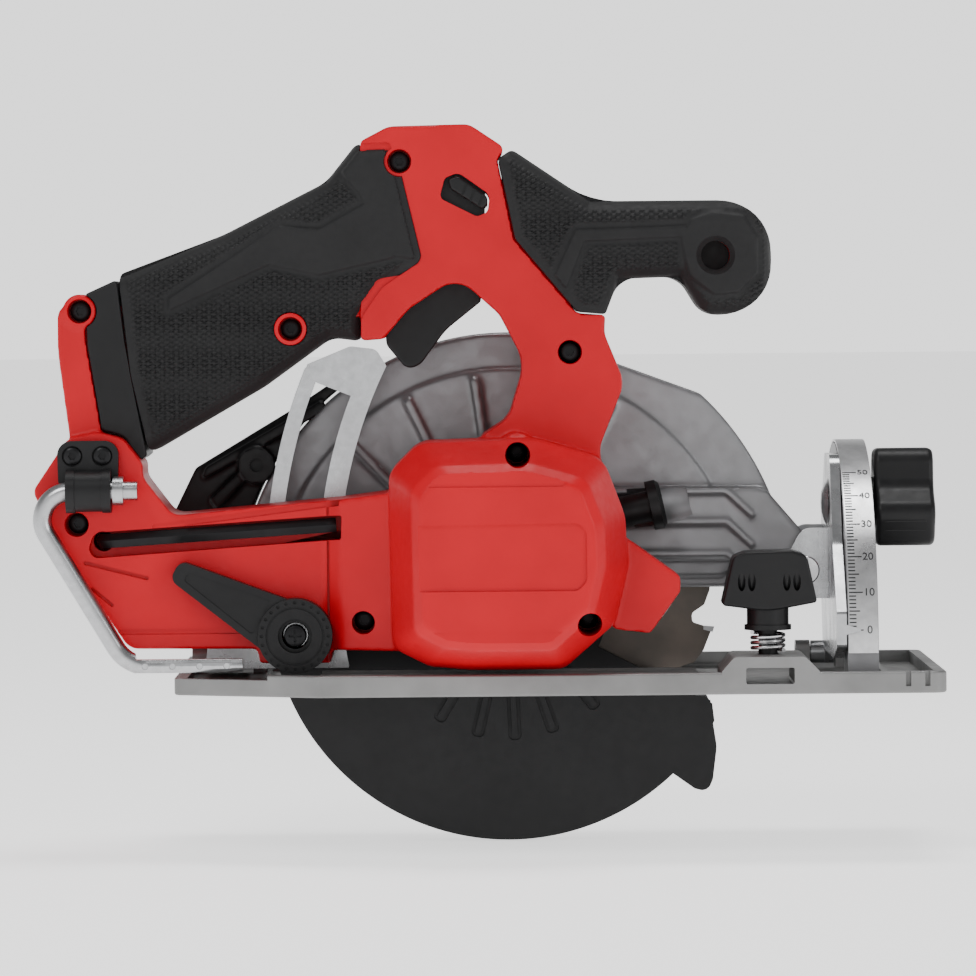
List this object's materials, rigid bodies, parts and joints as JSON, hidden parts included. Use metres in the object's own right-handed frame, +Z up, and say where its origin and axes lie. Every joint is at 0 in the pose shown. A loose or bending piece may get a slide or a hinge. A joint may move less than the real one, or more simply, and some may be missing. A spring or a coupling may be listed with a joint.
{
  "type": "circular saw",
  "caption": "Cordless circular saw with rear handle, battery bay, spring-returned lower guard, depth and bevel adjustment and a cast shoe.",
  "frame": {"origin": "on the sole of the shoe, under the blade arbor, in the parting plane of the housing", "axes": "+X forward along the cut, +Z up from the sole, +Y towards the blade"},
  "size_m": [0.2873, 0.1338, 0.2326],
  "materials": {
    "red_plastic": "satin moulded nylon with a fine grain",
    "black_rubber": "soft overmould with a diamond knurl",
    "black_plastic": "fine-grained moulded plastic",
    "black_oxide": "black oxide",
    "zinc_plate": "bright zinc plate",
    "grey_casting": "die cast, dark grey",
    "shoe_casting": "die cast, matt grey",
    "dark_steel": "dark ground steel",
    "bright_steel": "bright turned steel",
    "scale_face": "brushed strip",
    "lens": "clear",
    "circuit_board": "green laminate",
    "motor_steel": "laminated steel"
  },
  "bodies": {
    "saw_body": {"motor_side_housing": "red_plastic", "blade_side_housing": "red_plastic", "rear_grip_near": "black_rubber", "rear_grip_far": "black_rubber", "front_grip_near": "black_rubber", "front_grip_far": "black_rubber", "battery_sleeve": "black_plastic", "battery_contact_block": "black_plastic", "vent_insert": "black_plastic", "hook_clamp": "black_plastic", "switch_module": "black_plastic", "dust_chute": "black_plastic", "housing_screw_battery_ring": "black_oxide", "housing_screw_head_top": "black_oxide", "housing_screw_rear_grip": "black_oxide", "housing_screw_front_column": "black_oxide", "housing_screw_motor_top": "black_oxide", "housing_screw_hook_side": "black_oxide", "housing_screw_motor_front": "black_oxide", "housing_screw_arm_front": "black_oxide", "clamp_screw_rear": "black_oxide", "clamp_screw_front": "black_oxide", "depth_clamp_bolt": "zinc_plate", "gear_case": "grey_casting", "bearing_plate": "grey_casting", "upper_guard": "grey_casting", "motor_rear_bearing": "bright_steel", "motor_front_bearing": "bright_steel", "spindle_inner_bearing": "bright_steel", "spindle_outer_bearing": "bright_steel", "guard_return_spring": "bright_steel", "led_lens": "lens", "control_board": "circuit_board", "motor_stator": "motor_steel"},
    "blade": {"drive_gear": "bright_steel", "spindle": "bright_steel", "inner_flange": "dark_steel", "saw_blade": "dark_steel", "outer_flange": "dark_steel", "arbor_bolt": "black_oxide"},
    "rotor": {"rotor_shaft": "motor_steel", "cooling_fan": "black_plastic"},
    "lower_guard": {"lower_guard": "black_plastic"},
    "trigger": {"trigger": "black_plastic"},
    "lock_off_button": {"lock_off_button": "black_plastic"},
    "spindle_lock_button": {"spindle_lock_button": "black_plastic"},
    "depth_lock": {"depth_lock_lever": "black_plastic", "depth_lock_screw": "black_oxide"},
    "tilt_frame": {"depth_quadrant": "zinc_plate", "bevel_bracket": "zinc_plate", "bevel_carriage_bolt": "bright_steel", "depth_pivot_pin": "bright_steel"},
    "shoe": {"shoe": "shoe_casting", "bevel_quadrant": "grey_casting", "bevel_scale": "scale_face", "fence_spring": "bright_steel"},
    "bevel_knob": {"bevel_knob": "black_plastic"},
    "fence_knob": {"fence_knob": "black_plastic"},
    "rafter_hook": {"rafter_hook": "zinc_plate"},
    "hex_key": {"hex_key": "black_oxide"}
  },
  "joints": [
    {"name": "blade_spin", "type": "hinge", "parent": "saw_body", "child": "blade", "pos_m": [0, 0.036, 0.0255], "axis": [0, 1, 0], "continuous": true},
    {"name": "rotor_spin", "type": "hinge", "parent": "saw_body", "child": "rotor", "pos_m": [-0.00199, -0.03, 0.0462], "axis": [0, 1, 0], "continuous": true},
    {"name": "lower_guard_swing", "type": "hinge", "parent": "saw_body", "child": "lower_guard", "pos_m": [0, 0.029, 0.0255], "axis": [0, 1, 0], "range_deg": [0, 105], "stiffness_Nm_per_rad": 0.12, "springref_deg": -14.32},
    {"name": "trigger_squeeze", "type": "hinge", "parent": "saw_body", "child": "trigger", "pos_m": [-0.01, 0, 0.132], "axis": [0, 1, 0], "range_deg": [0, 10], "stiffness_Nm_per_rad": 0.6, "springref_deg": -8.59},
    {"name": "lock_off_press", "type": "slide", "parent": "saw_body", "child": "lock_off_button", "axis": [-0.5, 0, -0.866], "range_m": [0, 0.0025], "stiffness_N_per_m": 400, "springref_m": -0.002},
    {"name": "spindle_lock_press", "type": "slide", "parent": "saw_body", "child": "spindle_lock_button", "axis": [-0.9763, 0, -0.2164], "range_m": [0, 0.0035], "stiffness_N_per_m": 400, "springref_m": -0.002},
    {"name": "depth_lock_turn", "type": "hinge", "parent": "saw_body", "child": "depth_lock", "pos_m": [-0.0676, -0.03, 0.0185], "axis": [0, 1, 0], "range_deg": [0, 50]},
    {"name": "depth_tilt", "type": "hinge", "parent": "saw_body", "child": "tilt_frame", "pos_m": [0.096, 0.026, 0.036], "axis": [0, -1, 0], "range_deg": [0, 25]},
    {"name": "bevel_tilt", "type": "hinge", "parent": "tilt_frame", "child": "shoe", "pos_m": [0, 0.034, 0.008], "axis": [1, 0, 0], "range_deg": [0, 50]},
    {"name": "bevel_knob_turn", "type": "hinge", "parent": "tilt_frame", "child": "bevel_knob", "pos_m": [0.124, 0.0066, 0.058], "axis": [1, 0, 0], "range_deg": [0, 360]},
    {"name": "fence_knob_turn", "type": "hinge", "parent": "shoe", "child": "fence_knob", "pos_m": [0.0817, -0.035, 0.03], "axis": [0, 0, 1], "range_deg": [0, 360]},
    {"name": "rafter_hook_swing", "type": "hinge", "parent": "saw_body", "child": "rafter_hook", "pos_m": [-0.13, -0.033, 0.0648], "axis": [-1, 0, 0], "range_deg": [0, 180]},
    {"name": "hex_key_pull", "type": "slide", "parent": "saw_body", "child": "hex_key", "axis": [0, -1, 0], "range_m": [0, 0.02]}
  ],
  "couplings": [
    {"joint": "rotor_spin", "follows": "blade_spin", "ratio": -4.7778}
  ]
}
